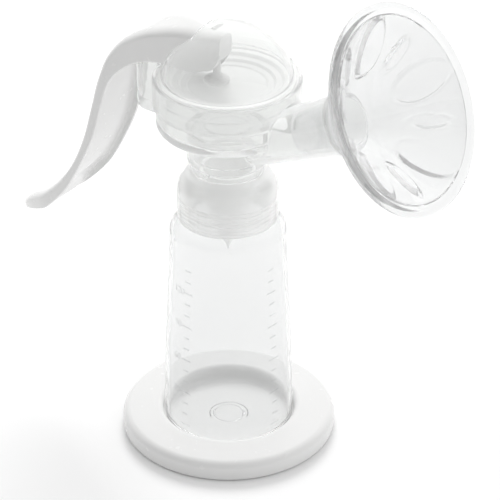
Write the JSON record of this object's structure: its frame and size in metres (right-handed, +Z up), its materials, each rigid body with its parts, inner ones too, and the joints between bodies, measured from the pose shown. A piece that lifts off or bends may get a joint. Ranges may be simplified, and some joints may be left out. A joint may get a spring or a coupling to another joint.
{
  "type": "manual breast pump",
  "caption": "Lever-driven manual breast pump: bottle in a round stand, screw collar, pump body with angled horn and funnel shield, diaphragm under a clear dome cap.",
  "frame": {"origin": "middle of the stand's flat underside, on the axis of stand, bottle, collar and cup", "axes": "+Z up along the bottle's axis, +X towards the horn and shield, -X towards the lever, XZ the mirror plane"},
  "size_m": [0.2058, 0.0886, 0.2105],
  "materials": {
    "white_plastic": "smooth gloss white",
    "clear_plastic": "clear polished polypropylene",
    "milky_plastic": "slightly milky clear polypropylene",
    "silicone": "soft translucent white silicone",
    "clear_silicone": "soft clear silicone"
  },
  "bodies": {
    "stand": {"base_stand": "white_plastic"},
    "bottle_body": {"bottle": "clear_plastic"},
    "head": {"pump_body": "milky_plastic", "duckbill_valve": "silicone"},
    "collar": {"screw_collar": "clear_plastic"},
    "shield": {"breast_shield": "clear_plastic", "massage_cushion": "clear_silicone"},
    "cap": {"dome_cap": "milky_plastic", "pivot_pin": "white_plastic", "diaphragm": "silicone"},
    "lever": {"handle": "white_plastic"},
    "stem": {"diaphragm_stem": "white_plastic"}
  },
  "joints": [
    {"name": "bottle_lift", "type": "slide", "parent": "stand", "child": "bottle_body", "axis": [0, 0, 1], "range_m": [0, 0.03]},
    {"name": "head_rise", "type": "slide", "parent": "bottle_body", "child": "head", "axis": [0, 0, 1], "range_m": [0, 0.00645]},
    {"name": "collar_turn", "type": "hinge", "parent": "head", "child": "collar", "pos_m": [0, 0, 0.112], "axis": [0, 0, 1], "range_deg": [0, 545]},
    {"name": "shield_pull", "type": "slide", "parent": "head", "child": "shield", "axis": [0.8821, 0, 0.471], "range_m": [0, 0.03]},
    {"name": "cap_lift", "type": "slide", "parent": "head", "child": "cap", "axis": [0, 0, 1], "range_m": [0, 0.03]},
    {"name": "handle_squeeze", "type": "hinge", "parent": "cap", "child": "lever", "pos_m": [-0.033, 0, 0.1676], "axis": [0, -1, 0], "range_deg": [0, 4.5], "stiffness_Nm_per_rad": 1.2, "springref_deg": -2.86},
    {"name": "stem_pull", "type": "slide", "parent": "cap", "child": "stem", "axis": [0, 0, 1], "range_m": [0, 0.0022], "deforming": ["diaphragm"]}
  ],
  "couplings": [
    {"joint": "collar_turn", "follows": "head_rise", "rad_per_m": 1461.2},
    {"joint": "stem_pull", "follows": "handle_squeeze", "m_per_rad": 0.028}
  ]
}
